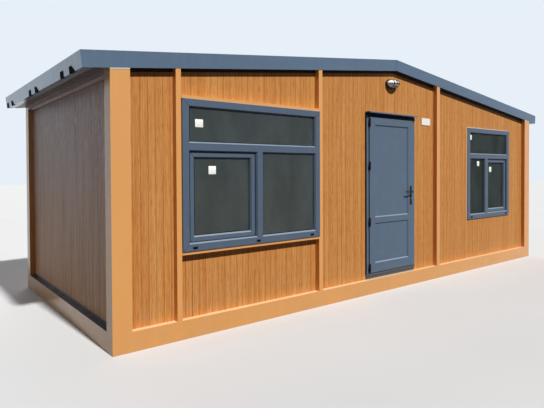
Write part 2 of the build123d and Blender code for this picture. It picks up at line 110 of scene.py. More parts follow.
class Shader:
    """A node material with one Principled shader and short calls to build what feeds it."""

    def __init__(self, name, roughness=0.5, metallic=0.0, **sockets):
        self.material = bpy.data.materials.new(name)
        self.material.use_nodes = True
        self.tree = self.material.node_tree
        self.surface = self.tree.nodes["Principled BSDF"]
        self.set(self.surface, "Roughness", roughness)
        self.set(self.surface, "Metallic", metallic)
        for key, value in sockets.items():
            self.set(self.surface, key.replace("_", " "), value)
        self.place = self.new("ShaderNodeTexCoord").outputs["Object"]
        self.facing = None
        self.axes = None

    def new(self, kind, **facts):
        """A node of one kind, with its own settings."""
        node = self.tree.nodes.new(kind)
        for key, value in facts.items():
            setattr(node, key, value)
        return node

    def set(self, node, socket, value):
        """Gives an input, named or passed itself, a fixed value or another node's output."""
        target = node.inputs[socket] if not hasattr(socket, "is_linked") else socket
        if hasattr(value, "is_linked"):
            self.tree.links.new(value, target)
        elif target.type == "VECTOR" and hasattr(value, "__len__"):
            target.default_value = value[:3]
        else:
            target.default_value = value

    def math(self, operation, a, b=0.0):
        """One step of arithmetic on one or two values."""
        node = self.new("ShaderNodeMath", operation=operation)
        for socket, value in zip(node.inputs, (a, b)):
            self.set(node, socket, value)
        return node.outputs[0]

    def times(self, *values):
        """The product of any number of values."""
        product = values[0]
        for value in values[1:]:
            product = self.math("MULTIPLY", product, value)
        return product

    def axis(self, letter):
        """The place along one axis of the object."""
        if self.axes is None:
            self.axes = self.new("ShaderNodeSeparateXYZ")
            self.set(self.axes, "Vector", self.place)
        return self.axes.outputs[letter]

    def normal(self, letter):
        """One part of the surface's true normal."""
        if self.facing is None:
            self.facing = self.new("ShaderNodeSeparateXYZ")
            self.set(self.facing, "Vector", self.new("ShaderNodeNewGeometry").outputs["True Normal"])
        return self.facing.outputs[letter]

    def stretched(self, scales, offset=(0, 0, 0)):
        """The place scaled along each axis, then moved by an offset."""
        node = self.new("ShaderNodeMapping")
        self.set(node, "Vector", self.place)
        node.inputs["Scale"].default_value = scales
        node.inputs["Location"].default_value = offset
        return node.outputs[0]

    def noise(self, scales, detail=3.0, rough=0.5, distortion=0.0, offset=(0, 0, 0)):
        """Noise with its own scale along each axis, in spots per metre."""
        node = self.new("ShaderNodeTexNoise")
        self.set(node, "Vector", self.stretched(scales, offset))
        node.inputs["Scale"].default_value = 1.0
        node.inputs["Detail"].default_value = detail
        node.inputs["Roughness"].default_value = rough
        node.inputs["Distortion"].default_value = distortion
        return node.outputs["Fac"]

    def span(self, value, low, high, to_low=0.0, to_high=1.0, smooth=False):
        """The value carried over from the range low to high into the range to_low to to_high."""
        kind = "SMOOTHSTEP" if smooth else "LINEAR"
        node = self.new("ShaderNodeMapRange", interpolation_type=kind)
        self.set(node, "Value", value)
        ends = {"From Min": low, "From Max": high, "To Min": to_low, "To Max": to_high}
        for key, number in ends.items():
            self.set(node, key, number)
        return node.outputs[0]

    def mix(self, factor, a, b):
        """Colour a where the factor is 0, colour b where it is 1."""
        node = self.new("ShaderNodeMix", data_type="RGBA")
        self.set(node, node.inputs[0], factor)
        self.set(node, node.inputs[6], a)
        self.set(node, node.inputs[7], b)
        return node.outputs[2]

    def brighten(self, base, *factors):
        """The colour times numbers that vary over the surface."""
        grey = self.new("ShaderNodeCombineXYZ")
        factor = self.times(*factors)
        for key in "XYZ":
            self.set(grey, key, factor)
        node = self.new("ShaderNodeVectorMath", operation="MULTIPLY")
        self.set(node, node.inputs[0], base)
        self.set(node, node.inputs[1], grey.outputs[0])
        return node.outputs[0]

    def paint(self, value):
        self.set(self.surface, "Base Color", value)

    def rough(self, value):
        self.set(self.surface, "Roughness", value)

    def bump(self, height, distance, strength=1.0, before=None):
        """Relief from a height, laid over the relief before it."""
        node = self.new("ShaderNodeBump")
        node.inputs["Strength"].default_value = strength
        node.inputs["Distance"].default_value = distance
        self.set(node, "Height", height)
        if before is not None:
            self.set(node, "Normal", before)
        self.set(self.surface, "Normal", node.outputs[0])
        return node.outputs[0]

    def edge(self, radius=0.004):
        """1 on edges within the radius, where a bevelled normal turns away from the true one."""
        flat, turned_away = 0.995, 0.8
        bevel = self.new("ShaderNodeBevel", samples=4)
        bevel.inputs["Radius"].default_value = radius
        geometry = self.new("ShaderNodeNewGeometry")
        dot = self.new("ShaderNodeVectorMath", operation="DOT_PRODUCT")
        self.set(dot, dot.inputs[0], bevel.outputs[0])
        self.set(dot, dot.inputs[1], geometry.outputs["True Normal"])
        return self.span(dot.outputs["Value"], flat, turned_away)

    def seen_by_eye(self):
        """1 for camera, mirror and glass rays, 0 for the light that bounces off the surface."""
        path = self.new("ShaderNodeLightPath")
        seen = self.math("MAXIMUM", path.outputs["Is Camera Ray"], path.outputs["Is Glossy Ray"])
        return self.math("MAXIMUM", seen, path.outputs["Is Transmission Ray"])


# Materials

def painted_steel(name, base, top_highlight_and_wear, dirt, roughness=0.36):
    """Satin paint: orange peel, faint clouding, a painted highlight on upward faces, worn edges, dust
    near the ground.
    """
    s = Shader(name, roughness=roughness, Specular_IOR_Level=0.28,
               Coat_Weight=0.6, Coat_Roughness=0.16)
    cloud = s.span(s.noise((1.1, 1.1, 0.8), detail=4), 0.3, 0.7, 0.97, 1.025)
    streak = s.span(s.noise((9, 9, 0.7), offset=(3, 1, 0)), 0.3, 0.7, 0.985, 1.015)
    tone = s.brighten(base, cloud, streak)
    # Upward faces are painted paler: a painted highlight where the light falls on ledges; worn edges take
    # the same colour
    tone = s.mix(s.span(s.normal("Z"), 0.6, 0.9), tone, top_highlight_and_wear)
    dust = s.times(s.span(s.axis("Z"), 0.01, 0.3, 1, 0, smooth=True),
                   s.span(s.noise((5, 5, 11), detail=5), 0.4, 0.75), 0.3)
    tone = s.mix(dust, tone, dirt)
    chips = s.span(s.noise((60, 60, 60), detail=4), 0.5, 0.6)
    s.paint(s.mix(s.times(s.edge(), chips, 0.6), tone, top_highlight_and_wear))
    s.rough(s.span(s.noise((14, 14, 14), detail=5), 0.3, 0.7, roughness - 0.05, roughness + 0.08))
    s.bump(s.noise((420, 420, 420), detail=2), 0.0009)
    return s.material


def wood_panel(name, across, phase, inner_side, sheen_strength=0.0):
    """Printed wood grain that runs up, with shallow grooves at one pitch; pale on the inner side.

    The last argument is how much painted sky reflection the face carries: blue-grey streaks, stronger
    towards the top, painted shade between them and painted glints near the top.
    """
    board_dark, board_pale = colour(197, 132, 70), colour(207, 147, 84)
    streak_dark, streak_pale = colour(160, 96, 42), colour(224, 172, 116)
    fibre_brown, pore_brown = colour(146, 84, 36), colour(118, 64, 28)
    groove_dirt_and_shade_brown, joint_brown = colour(112, 58, 24), colour(70, 40, 22)
    ground_dust, lining_white = colour(176, 156, 130), colour(206, 206, 202)
    s = Shader(name, roughness=0.44, Specular_IOR_Level=0.08 + sheen_strength / 4)
    board = s.noise((16, 16, 0.3), detail=2)
    streak = s.noise((62, 62, 1.3), detail=4, rough=0.62, distortion=0.3, offset=(2, 5, 1))
    fibre = s.noise((330, 330, 7), detail=3, rough=0.65)
    pores = s.noise((150, 150, 9), detail=3, rough=0.5, offset=(7, 3, 9))
    tone = s.mix(s.span(board, 0.34, 0.66), board_dark, board_pale)
    tone = s.mix(s.times(s.span(streak, 0.48, 0.7), 0.3), tone, streak_dark)
    tone = s.mix(s.times(s.span(streak, 0.5, 0.32), 0.25), tone, streak_pale)
    tone = s.mix(s.times(s.span(fibre, 0.48, 0.66), 0.5), tone, fibre_brown)
    tone = s.mix(s.times(s.span(pores, 0.56, 0.66), 0.4), tone, pore_brown)
    place = s.math("DIVIDE", s.math("SUBTRACT", s.axis(across), phase), GROOVE_PITCH)
    groove = groove_mask(s, place, GROOVE_PITCH, (0.0014, 0.0046))
    panel_place = s.math("DIVIDE", place, GROOVES_PER_PANEL)
    joint = groove_mask(s, panel_place, GROOVE_PITCH * GROOVES_PER_PANEL, (0.0018, 0.0036))
    # Grooves are darkened for dirt in them and for painted shade inside them
    tone = s.mix(s.times(groove, 0.45), tone, groove_dirt_and_shade_brown)
    tone = s.mix(s.times(joint, 0.4), tone, joint_brown)
    dust = s.times(s.span(s.axis("Z"), 0.18, 0.6, 1, 0, smooth=True),
                   s.span(s.noise((6, 6, 9), detail=5), 0.42, 0.72), 0.14)
    tone = s.mix(dust, tone, ground_dust)
    # The side walls carry a painted sky reflection, painted shade and painted glints
    if sheen_strength:
        tone = painted_sky_sheen(s, tone, sheen_strength)
    letter, sign = inner_side
    inside = s.span(s.times(s.normal(letter), sign), 0.4, 0.6)
    clouds = s.span(s.noise((2, 2, 2), detail=4), 0.3, 0.7, 0.96, 1.03)
    s.paint(s.mix(inside, tone, s.brighten(lining_white, clouds)))
    s.rough(s.span(streak, 0.3, 0.7, 0.38, 0.54))
    relief = s.math("ADD", s.times(streak, 0.3), s.times(fibre, 0.2))
    relief = s.math("SUBTRACT", relief, s.times(groove, 1.2))
    relief = s.math("SUBTRACT", relief, s.times(joint, 2.5))
    s.bump(relief, 0.001, 0.8)
    return s.material


def painted_sky_sheen(s, tone, strength):
    """The tone under a painted sky reflection: painted shade between its streaks, painted blue-grey sheen
    in them, stronger higher up, and painted glints near the top.
    """
    painted_shade_brown, painted_sheen_blue, painted_glint_white = colour(78, 54, 34), colour(170, 190, 216), colour(226, 232, 240)
    higher = s.span(s.axis("Z"), 0.3, 2.2)
    film = s.span(s.noise((90, 90, 1.1), detail=4, offset=(4, 4, 2)), 0.36, 0.62)
    tone = s.mix(s.times(s.span(film, 0.45, 0.1), strength), tone, painted_shade_brown)
    tone = s.mix(s.times(film, higher, strength), tone, painted_sheen_blue)
    painted_glints = s.times(s.span(s.noise((80, 80, 8), detail=2, offset=(1, 8, 5)), 0.57, 0.66),
                    s.span(s.axis("Z"), 1.2, 1.9))
    return s.mix(s.times(painted_glints, strength), tone, painted_glint_white)


def groove_mask(s, place, pitch, widths):
    """1 in the middle of a groove that lies at each whole number of place."""
    beside = s.math("SUBTRACT", s.math("FRACT", s.math("ADD", place, 100.5)), 0.5)
    away = s.times(s.math("ABSOLUTE", beside), pitch)
    return s.span(away, *widths, 1, 0, smooth=True)


def foil(name, base, pale, grain_axis, roughness=0.4):
    """Anthracite foil on plastic profiles: fine grain along the profile, soft sheen, a painted highlight
    on upward faces, paler edges.
    """
    s = Shader(name, roughness=roughness, Specular_IOR_Level=0.3)
    across, along = 330, 9
    scales = [along if letter == grain_axis else across for letter in "XYZ"]
    grain = s.noise(scales, detail=3, rough=0.6)
    cloud = s.noise((2.2, 2.2, 2.2), detail=3)
    tone = s.brighten(base, s.span(grain, 0.35, 0.65, 0.95, 1.05), s.span(cloud, 0.3, 0.7, 0.97, 1.03))
    # Upward faces are painted paler: a painted highlight where light falls on sills and bevels
    tone = s.mix(s.span(s.normal("Z"), 0.3, 0.7, 0, 0.55), tone, pale)
    dust = s.times(s.span(s.noise((7, 7, 7), detail=6), 0.55, 0.8), 0.1)
    tone = s.mix(dust, tone, colour(140, 144, 146))
    s.paint(s.mix(s.times(s.edge(0.003), 0.35), tone, pale))
    s.rough(s.span(grain, 0.3, 0.7, roughness - 0.06, roughness + 0.1))
    s.bump(grain, 0.0003, 0.6)
    return s.material


def sheet_metal(name, base, pale, roughness=0.32, run="X", gloss=0.0):
    """Coated folded sheet: long waves that catch the light, water marks, paler folded edges.

    The waves are drawn out along x, the long front, or along y where run says so.
    """
    s = Shader(name, roughness=roughness, Specular_IOR_Level=0.32 + gloss / 3, Coat_Weight=gloss,
               Coat_Roughness=0.14)
    wave = s.noise((0.7, 0.9, 3.5) if run == "X" else (1.5, 0.8, 3.5), detail=2)
    marks = s.noise((22, 22, 2.2), detail=4, rough=0.6)
    tone = s.brighten(base, s.span(wave, 0.3, 0.7, 0.95, 1.05), s.span(marks, 0.3, 0.7, 0.97, 1.03))
    s.paint(s.mix(s.times(s.edge(0.0025), 0.5), tone, pale))
    s.rough(s.span(marks, 0.3, 0.7, roughness - 0.05, roughness + 0.08))
    ripple = s.bump(wave, 0.02, 0.45)
    s.bump(s.noise((600, 600, 600), detail=2), 0.0004, 0.5, before=ripple)
    return s.material


def roof_sheet(name, top, ceiling, soffit_in_painted_shade):
    """Coated roof panels: ribbed top, pale ceiling inside the walls, and outside them a dark underside of
    painted shade.
    """
    ceiling_from, ceiling_full = 0.07, 0.075
    s = Shader(name, roughness=0.36, Specular_IOR_Level=0.3)
    marks = s.noise((3, 24, 3), detail=4, rough=0.6)
    wave = s.noise((1.2, 1.2, 1.2), detail=3)
    upper = s.brighten(top, s.span(wave, 0.3, 0.7, 0.95, 1.05), s.span(marks, 0.3, 0.7, 0.95, 1.04))
    upper = s.mix(s.times(s.span(marks, 0.6, 0.75), 0.2), upper, colour(150, 150, 142))
    inside = s.times(*(
        s.span(s.math("ABSOLUTE", s.axis(letter)), measure / 2 - ceiling_from, measure / 2 - ceiling_full)
        for letter, measure in (("X", LENGTH), ("Y", DEPTH))))
    # Outside the walls the underside is dark brown: painted shade under the eaves
    lower = s.mix(inside, s.brighten(soffit_in_painted_shade, s.span(wave, 0.3, 0.7, 0.9, 1.1)), ceiling)
    s.paint(s.mix(s.span(s.normal("Z"), -0.1, -0.4), upper, lower))
    s.rough(s.span(marks, 0.3, 0.7, 0.32, 0.44))
    s.bump(wave, 0.004, 0.4)
    return s.material


def plain(name, base, roughness=0.5, metallic=0.0, grain=(300, 300, 300), depth=0.0004, vary=0.05,
          **sockets):
    """A single finish with fine grain, a little clouding, uneven gloss and rubbed edges."""
    s = Shader(name, roughness=roughness, metallic=metallic, **sockets)
    fine = s.noise(grain, detail=3)
    cloud = s.noise((6, 6, 6), detail=4)
    tone = s.brighten(base, s.span(fine, 0.3, 0.7, 1 - vary, 1 + vary),
                      s.span(cloud, 0.3, 0.7, 1 - 0.7 * vary, 1 + 0.7 * vary))
    rubbed = s.brighten(base, s.span(fine, 0.3, 0.7, 1.2, 1.5))
    s.paint(s.mix(s.times(s.edge(0.0015), 0.4), tone, rubbed))
    s.rough(s.span(cloud, 0.3, 0.7, roughness - 0.05, roughness + 0.07))
    s.bump(fine, depth, 0.6)
    return s.material


def glazing(name, mirror):
    """Double glazing with a grey-green tint and a film of dust; mirror is its refractive index."""
    s = Shader(name, roughness=0.02, Transmission_Weight=0.94, IOR=mirror)
    film = s.noise((2.6, 2.6, 1.1), detail=5, rough=0.6)
    s.paint(s.mix(s.span(film, 0.4, 0.75), colour(164, 180, 178), colour(120, 134, 130)))
    s.rough(s.span(film, 0.45, 0.8, 0.01, 0.06))
    s.bump(s.noise((1.6, 1.6, 1.6), detail=2), 0.002, 0.4)
    return s.material


def floor_boards(name):
    """Laid boards in rows, each with its own shade, seams and grain."""
    s = Shader(name, roughness=0.45)
    width, reach = 0.18, 1.2
    row = s.math("DIVIDE", s.math("ADD", s.axis("Y"), 10), width)
    number = s.math("FLOOR", row)
    shift = s.times(s.math("FRACT", s.times(number, 0.37)), reach)
    along = s.math("DIVIDE", s.math("ADD", s.math("ADD", s.axis("X"), 10), shift), reach)
    beside, ends = (s.math("ABSOLUTE", s.math("SUBTRACT", s.math("FRACT", place), 0.5))
                    for place in (row, along))
    seam = s.math("MAXIMUM", s.span(beside, 0.488, 0.495), s.span(ends, 0.498, 0.4992))
    # A shade for each board: a fast sine of its two numbers, of which the fraction is kept
    mixed = s.math("ADD", s.times(number, 12.9), s.times(s.math("FLOOR", along), 78.2))
    pick = s.math("FRACT", s.times(s.math("SINE", mixed), 437.5))
    grain = s.noise((4, 90, 90), detail=4, rough=0.6, distortion=0.4)
    tone = s.mix(pick, colour(138, 120, 98), colour(164, 146, 122))
    tone = s.mix(s.times(s.span(grain, 0.45, 0.7), 0.5), tone, colour(110, 92, 74))
    s.paint(s.mix(s.times(seam, 0.8), tone, colour(58, 48, 38)))
    s.rough(s.span(grain, 0.3, 0.7, 0.38, 0.55))
    s.bump(s.math("SUBTRACT", s.times(grain, 0.3), seam), 0.001, 0.6)
    return s.material


def lamp_lens(name):
    """Pressed, frosted lamp glass."""
    s = Shader(name, roughness=0.12, IOR=1.5, Specular_IOR_Level=0.8)
    fog = s.noise((70, 70, 70), detail=3)
    s.paint(s.brighten(colour(250, 249, 246), s.span(fog, 0.3, 0.7, 0.92, 1.03)))
    s.rough(s.span(fog, 0.3, 0.7, 0.1, 0.22))
    s.bump(fog, 0.0006, 0.5)
    return s.material


sheet_blue = sheet_metal("anthracite_sheet", colour(86, 107, 131), colour(168, 184, 202))
# The same anthracite sheet, paler and bluer with near-white edges on the eave fascias: painted reflection
# of the sky
eave_sheet_painted_sky_light = sheet_metal("anthracite_sheet_eave_painted_sky_light", colour(104, 136, 168), colour(220, 228, 236),
                        roughness=0.3, run="Y", gloss=0.5)
flashing_dark = plain("dark_flashing", colour(54, 48, 58), roughness=0.4, Specular_IOR_Level=0.3)
# Near black on the gable rails: painted shadow of the verge fascia above them
rail_in_painted_shadow = plain("rail_painted_shadow_paint", colour(36, 16, 8), roughness=0.6, Specular_IOR_Level=0.1)
frame_foil = foil("anthracite_foil", colour(78, 94, 114), colour(158, 174, 192), "Z")
door_foil = foil("door_foil", colour(83, 101, 121), colour(150, 165, 182), "Z")
# The second colour is the painted highlight on upward faces and also the colour of worn edges
steel_paint = painted_steel("golden_oak_paint", colour(221, 157, 88), colour(250, 216, 172),
                            colour(180, 150, 118))
# The golden oak paint made dark red-brown for the eave rails: painted shade under the eaves, with a
# painted highlight on their upward faces
steel_in_painted_shade = painted_steel("golden_oak_paint_in_painted_shade", colour(104, 46, 24), colour(240, 168, 120),
                             colour(120, 90, 70))
black_metal = plain("black_hardware", colour(13, 13, 16), roughness=0.4, vary=0.1,
                    Specular_IOR_Level=0.3)
rubber = plain("rubber_seal", colour(12, 12, 14), roughness=0.75, vary=0.15,
               Specular_IOR_Level=0.1)
# Near black for the notch fills: painted shadow of the hollows behind the eave fascia's notches
notch_shadow_paint = plain("black_notch_shadow_paint", colour(8, 8, 10), roughness=0.95, grain=(180, 180, 180), depth=0.001,
             Specular_IOR_Level=0.05)
cast_black = plain("lamp_black", colour(22, 22, 25), roughness=0.5, grain=(500, 500, 500), depth=0.0008,
                   Specular_IOR_Level=0.25)
satin_metal = plain("satin_metal", colour(190, 192, 196), roughness=0.3, metallic=1.0,
                    grain=(40, 700, 700))
sill_metal = plain("threshold_metal", colour(78, 80, 86), roughness=0.38, metallic=0.3,
                   grain=(12, 700, 700), vary=0.06)
lock_metal = plain("lock_metal", colour(150, 146, 134), roughness=0.28, metallic=1.0)
handle_metal = plain("handle_metal", colour(60, 62, 66), roughness=0.36, metallic=0.3)
plate_white = plain("white_plate", colour(240, 237, 231), roughness=0.4, vary=0.015)
label_white = plain("blank_label", colour(246, 246, 244), roughness=0.6, vary=0.015)
silicone = plain("silicone_bead", colour(206, 206, 204), roughness=0.45, vary=0.03)
zinc = plain("zinc_screw", colour(150, 154, 160), roughness=0.35, metallic=0.9, vary=0.08)
glass = glazing("window_glass", 1.42)
# The same glass with a lower refractive index on the small window, so that it reflects less: a painted
# dimmer reflection
glass_painted_dim = glazing("window_glass_painted_dim", 1.09)
lens = lamp_lens("lamp_lens")
roof_coat = roof_sheet("roof_sheet", top=colour(92, 108, 128), ceiling=colour(214, 214, 210),
                       soffit_in_painted_shade=colour(58, 44, 36))
boards = floor_boards("floor_boards")

# The last value is how much painted sky reflection and painted shade the side walls carry
LONG_WALL_PHASE, SIDE_WALL_PHASE, SIDE_PAINTED_SHEEN = 0.03, LEFT_WALL_GROOVE - DEPTH / 2, 0.6
PANELS = {
    "front": wood_panel("wood_panel_front", "X", LONG_WALL_PHASE, ("Y", 1)),
    "rear": wood_panel("wood_panel_rear", "X", LONG_WALL_PHASE, ("Y", -1)),
    "left": wood_panel("wood_panel_left", "Y", SIDE_WALL_PHASE, ("X", 1), SIDE_PAINTED_SHEEN),
    "right": wood_panel("wood_panel_right", "Y", SIDE_WALL_PHASE, ("X", -1), SIDE_PAINTED_SHEEN),
}
BY_SLOT = {
    "golden_oak_steel": steel_paint, "anthracite_sheet": sheet_blue, "roof_sheet": roof_coat,
    "anthracite_frame": frame_foil, "window_glass": glass, "threshold_metal": sill_metal,
    "black_hardware": black_metal, "lock_metal": lock_metal, "floor_board": boards,
    "lamp_body": cast_black, "lamp_lens": lens, "white_plate": plate_white,
    "window_handle_metal": handle_metal,
}
BY_NODE = {
    "door_leaf": door_foil, "door_frame": door_foil, "gable_rails": rail_in_painted_shadow,
    "side_flashings": flashing_dark, "eave_rails": steel_in_painted_shade, "small_window_glass": glass_painted_dim,
    "eave_fascia_left": eave_sheet_painted_sky_light, "eave_fascia_right": eave_sheet_painted_sky_light,
}


def dress_nodes():
    """A material for each CAD node, by its name, its slot, or the wall that its name begins with."""
    slots = {part["node"]: part["material_slot"] for part in frame["record"]["subparts"]}
    for name, node in nodes.items():
        material = BY_NODE.get(name) or BY_SLOT.get(slots[name]) or PANELS[name.split("_")[0]]
        for holder in node.material_slots:
            holder.material = material


# Mesh helpers: slab, prism, hoop and turned each add one closed form to a mesh

def slab(bm, low, high, soften=0.0):
    """A box between two corners, with its edges rounded off."""
    low, high = Vector(low), Vector(high)
    place = Matrix.Translation((low + high) / 2) @ Matrix.Diagonal((*(high - low), 1))
    made = bmesh.ops.create_cube(bm, size=1, matrix=place)["verts"]
    if soften:
        edges = list({edge for vert in made for edge in vert.link_edges})
        bmesh.ops.bevel(bm, geom=edges, offset=soften, segments=2, profile=0.5, affect="EDGES")


def prism(bm, near, far):
    """Two matching outlines joined by flat sides."""
    near, far = ([bm.verts.new(point) for point in outline] for outline in (near, far))
    bm.faces.new(near)
    bm.faces.new(far)
    for i in range(len(near)):
        bm.faces.new((near[i - 1], near[i], far[i], far[i - 1]))


def hoop(bm, loops):
    """A rectangular frame: each loop is an x span, a z span and a y, joined to the next."""
    rows = []
    for (x0, x1), (z0, z1), y in loops:
        rows.append([bm.verts.new((x, y, z)) for x, z in ((x0, z0), (x1, z0), (x1, z1), (x0, z1))])
    for a, b in zip(rows, rows[1:] + rows[:1]):
        for i in range(4):
            bm.faces.new((a[i - 1], a[i], b[i], b[i - 1]))


def turned(bm, place, profile, sides=12):
    """A turned form: pairs of radius and height go round the local z of a place."""
    rows = []
    for radius, height in profile:
        turns = [2 * pi * i / sides for i in range(sides if radius else 1)]
        rows.append([bm.verts.new(place @ Vector((radius * cos(t), radius * sin(t), height)))
                     for t in turns])
    for a, b in zip(rows, rows[1:]):
        for i in range(sides):
            j = (i + 1) % sides
            ring = [a[i % len(a)], a[j % len(a)], b[j % len(b)], b[i % len(b)]]
            bm.faces.new(list(dict.fromkeys(ring)))


def piece(name, fill, material, body="house", crease=32):
    """A piece whose mesh is filled by a function, riding on a body."""
    bm = bmesh.new()
    fill(bm)
    bmesh.ops.recalc_face_normals(bm, faces=bm.faces)
    mesh = bpy.data.meshes.new(name)
    bm.to_mesh(mesh)
    bm.free()
    mesh.materials.append(material)
    for face in mesh.polygons:
        face.use_smooth = True
    mesh.set_sharp_from_angle(angle=radians(crease))
    made = bpy.data.objects.new(name, mesh)
    scene.collection.objects.link(made)
    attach(made, body)
    return made


def islands(name):
    """Low and high corner of each separate solid of a node, in order of x, then y, then z."""
    bm = bmesh.new()
    bm.from_mesh(nodes[name].data)
    bmesh.ops.remove_doubles(bm, verts=bm.verts, dist=1e-5)
    left, found = set(bm.verts), []
    while left:
        queue = [left.pop()]
        group = []
        while queue:
            vert = queue.pop()
            group.append(vert.co.copy())
            for edge in vert.link_edges:
                other = edge.other_vert(vert)
                if other in left:
                    left.remove(other)
                    queue.append(other)
        found.append(tuple(Vector(pick(co[i] for co in group) for i in range(3)) for pick in (min, max)))
    bm.free()
    return sorted(found, key=lambda ends: tuple(ends[0]))


def shrink(span, amount):
    """A pair of ends moved towards each other."""
    return (span[0] + amount, span[1] - amount)


def facing_front(x, y, z):
    """A place on a face that looks to the front, its local z pointing outwards."""
    return Matrix.Translation((x, y, z)) @ Matrix.Rotation(radians(90), 4, "X")


def facing_back(x, y, z):
    """A place on a face that looks to the back, its local z pointing outwards."""
    return Matrix.Translation((x, y, z)) @ Matrix.Rotation(radians(-90), 4, "X")


# Radius and height of a small screw's head, from its middle round the rim to the recess
SCREW = [(0, 0), (0.0042, 0), (0.0042, 0.001), (0.003, 0.0024), (0.0012, 0.0026), (0.001, 0.0012),
         (0, 0.0012)]


# Windows

def window_panes(kind):
    """Clear opening and outer and inner glass face of the transom, left and right pane."""
    found = islands(f"{kind}_window_glass")
    top = max(found, key=lambda ends: ends[1].z)
    found.remove(top)
    panes = {}
    for name, (low, high) in zip(("transom", "left", "right"), (top, *found)):
        spans = [shrink((low[i], high[i]), GLASS_REBATE) for i in (0, 2)]
        panes[name] = (*spans, (low.y, high.y))
    return panes


def gaskets(bm, panes):
    """Rubber lips round each pane, outside and inside."""
    face, proud, thin_edge = 0.005, 0.003, 0.4
    for x, z, (outer, inner) in panes.values():
        for y, out in ((outer, -proud), (inner, proud)):
            inner_x, inner_z = shrink(x, face), shrink(z, face)
            hoop(bm, [(x, z, y), (x, z, y + out), (inner_x, inner_z, y + out * thin_edge),
                      (inner_x, inner_z, y)])


def sash_gasket(bm, sash, y):
    """The black rubber that the sash closes against, at the edge of the frame's lip."""
    width, depth, thin_edge = 0.0045, 0.006, 0.6
    x, z = (shrink(span, SASH_OVERLAP) for span in sash)
    inner_x, inner_z = shrink(x, width), shrink(z, width)
    hoop(bm, [(x, z, y), (x, z, y - depth), (inner_x, inner_z, y - depth * thin_edge),
              (inner_x, inner_z, y)])


def drain_cap(bm, x, y, z):
    """A small sloped hood over a drain slot."""
    half, height, proud, proud_on_top = 0.025, 0.013, 0.006, 0.0018
    outline = [(y, z), (y - proud_on_top, z), (y - proud, z - height), (y, z - height)]
    prism(bm, [(x - half, a, b) for a, b in outline], [(x + half, a, b) for a, b in outline])


def drain_slot(bm, x, y, z):
    """A black patch where the slot shows under a hood: painted shade inside the slot."""
    half, top, foot, proud, sunk = 0.023, 0.0125, 0.025, 0.0008, 0.001
    slab(bm, (x - half, y - proud, z - foot), (x + half, y + sunk, z - top), soften=0.0003)


def mitre_lines(bm, low, high, start, flat):
    """A weld line across each corner of a frame's face, from start over its flat face."""
    half, proud = 0.0007, 0.0002
    for x, dx in ((low.x + start, 1), (high.x - start, -1)):
        for z, dz in ((low.z + start, 1), (high.z - start, -1)):
            ends = [(x + half * dx, z - half * dz), (x - half * dx, z + half * dz),
                    (x + dx * (flat - half), z + dz * (flat + half)),
                    (x + dx * (flat + half), z + dz * (flat - half))]
            prism(bm, [(a, low.y - proud, b) for a, b in ends], [(a, low.y + proud, b) for a, b in ends])


def label(bm, pane, left, top, width, height):
    """A blank paper label on a pane's outer face, measured from the pane's upper left corner."""
    thickness = 0.0005
    x, z, (y, _) = pane
    slab(bm, (x[0] + left, y - thickness, z[1] - top - height), (x[0] + left + width, y, z[1] - top),
         soften=0.0002)


# Left, top, width and height of the label on each pane
LABELS = {
    "large": {"transom": (0.062, 0.103, 0.084, 0.074), "left": (0.158, 0.073, 0.082, 0.078)},
    "small": {"transom": (0.014, 0.03, 0.05, 0.075), "left": (0.224, 0.03, 0.066, 0.078),
              "right": (0.06, 0.06, 0.07, 0.084)},
}
DRAIN_FROM_SIDE = {"large": 0.125, "small": 0.11}
DRAIN_HEIGHT, MULLION_DRAIN_SHIFT = 0.041, 0.005
MITRE_START = 0.003


def dress_window(kind):
    """Everything small on one window: rubber, drains, weld lines and labels."""
    panes = window_panes(kind)
    low, high = box(f"{kind}_window_frame")
    sash_low, sash_high = box(f"{kind}_window_sash")
    sash = ((sash_low.x, sash_high.x), (sash_low.z, sash_high.z))
    side = DRAIN_FROM_SIDE[kind]
    drains = [low.x + side, high.x - side]
    if kind == "large":
        mullion = (panes["left"][0][1] + panes["right"][0][0]) / 2
        drains.append(mullion + MULLION_DRAIN_SHIFT)
    height = low.z + DRAIN_HEIGHT

    def caps(bm):
        for x in drains:
            drain_cap(bm, x, low.y, height)

    def slots(bm):
        for x in drains:
            drain_slot(bm, x, low.y, height)

    def mitres(bm):
        mitre_lines(bm, low, high, MITRE_START, FRAME_FLAT - MITRE_START)
        mitre_lines(bm, sash_low, sash_high, SASH_OVERLAP, SASH_FLAT)

    def labels(bm):
        for name, measures in LABELS[kind].items():
            label(bm, panes[name], *measures)

    piece(f"{kind}_window_gaskets", lambda bm: gaskets(bm, panes), rubber)
    piece(f"{kind}_window_sash_gasket", lambda bm: sash_gasket(bm, sash, sash_low.y), rubber)
    piece(f"{kind}_window_drain_caps", caps, rubber)
    piece(f"{kind}_window_drain_slots", slots, rubber)
    piece(f"{kind}_window_mitre_lines", mitres, rubber)
    piece(f"{kind}_window_labels", labels, label_white)


def window_sealant():
    """A pale sealant bead between the small window's frame and the wall panel."""
    low, high = box("small_window_frame")
    face = box("front_wall_bay_4")[0].y
    x, z = (low.x, high.x), (low.z, high.z)
    width, crown, proud, rise = 0.007, 0.0049, 0.004, 0.006

    def bead(bm):
        hoop(bm, [(x, z, face), (shrink(x, -width), shrink(z, -width), face),
                  (shrink(x, -crown), shrink(z, -crown), face - proud), (x, z, face - rise)])

    piece("small_window_sealant", bead, silicone)


# Door

